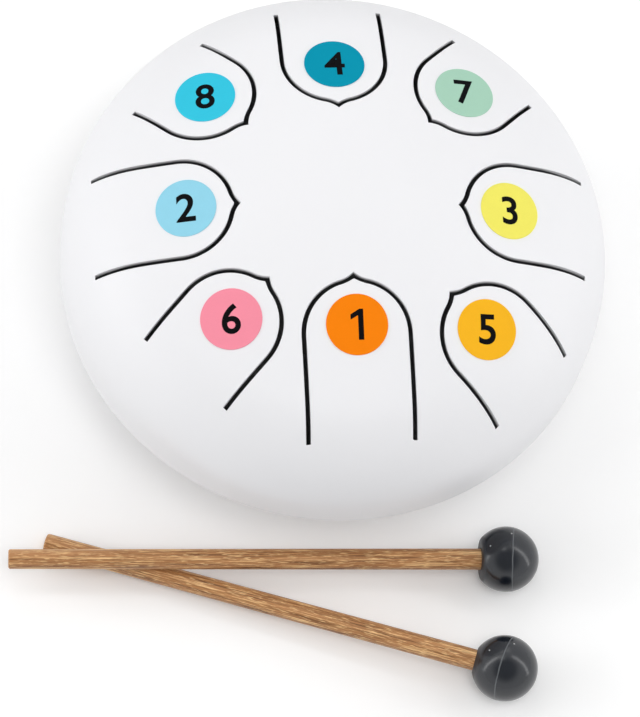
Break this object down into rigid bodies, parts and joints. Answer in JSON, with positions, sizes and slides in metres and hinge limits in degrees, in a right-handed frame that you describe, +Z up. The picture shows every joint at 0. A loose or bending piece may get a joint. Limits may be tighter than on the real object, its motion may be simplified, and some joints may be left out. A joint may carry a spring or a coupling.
{
  "type": "steel tongue drum with mallets",
  "caption": "Dished steel drum with tongues slotted in its domed top, a bowl with a sound hole below, rubber feet and a pair of loose ball-headed mallets.",
  "frame": {"origin": "middle of the whole set's base, on the table, with the mallets laid beside the drum", "axes": "+Z up along the drum's axis, -Y towards the player and the longest tongue, +X the way the mallets' heads point"},
  "size_m": [0.1716, 0.2006, 0.0825],
  "materials": {
    "shell_paint": "satin white powder coat",
    "label_orange": "satin vinyl",
    "label_light_blue": "satin vinyl",
    "label_yellow": "satin vinyl",
    "label_teal": "satin vinyl",
    "label_amber": "satin vinyl",
    "label_pink": "satin vinyl",
    "label_green": "satin vinyl",
    "label_cyan": "satin vinyl",
    "foot_rubber": "matt black",
    "zinc": "bright zinc plate",
    "head_rubber": "satin dark grey",
    "stained_wood": "stained, lightly sealed"
  },
  "bodies": {
    "drum": {"top_shell": "shell_paint", "bottom_shell": "shell_paint", "note_label_1": "label_orange", "note_label_2": "label_light_blue", "note_label_3": "label_yellow", "note_label_4": "label_teal", "note_label_5": "label_amber", "note_label_6": "label_pink", "note_label_7": "label_green", "note_label_8": "label_cyan", "foot_1": "foot_rubber", "foot_2": "foot_rubber", "foot_3": "foot_rubber", "foot_screw_1": "zinc", "foot_screw_2": "zinc", "foot_screw_3": "zinc", "foot_washer_1": "zinc", "foot_washer_2": "zinc", "foot_washer_3": "zinc", "foot_nut_1": "zinc", "foot_nut_2": "zinc", "foot_nut_3": "zinc"},
    "mallet_1": {"mallet_1_stick": "stained_wood", "mallet_1_head": "head_rubber"},
    "mallet_2": {"mallet_2_stick": "stained_wood", "mallet_2_head": "head_rubber"}
  },
  "joints": [
    {"name": "mallet_1_lift", "type": "slide", "parent": "drum", "child": "mallet_1", "axis": [0, -0.5, 0.866], "range_m": [0, 0.12]},
    {"name": "mallet_2_draw", "type": "slide", "parent": "drum", "child": "mallet_2", "axis": [0.9461, -0.3202, 0.0491], "range_m": [0, 0.11]}
  ]
}
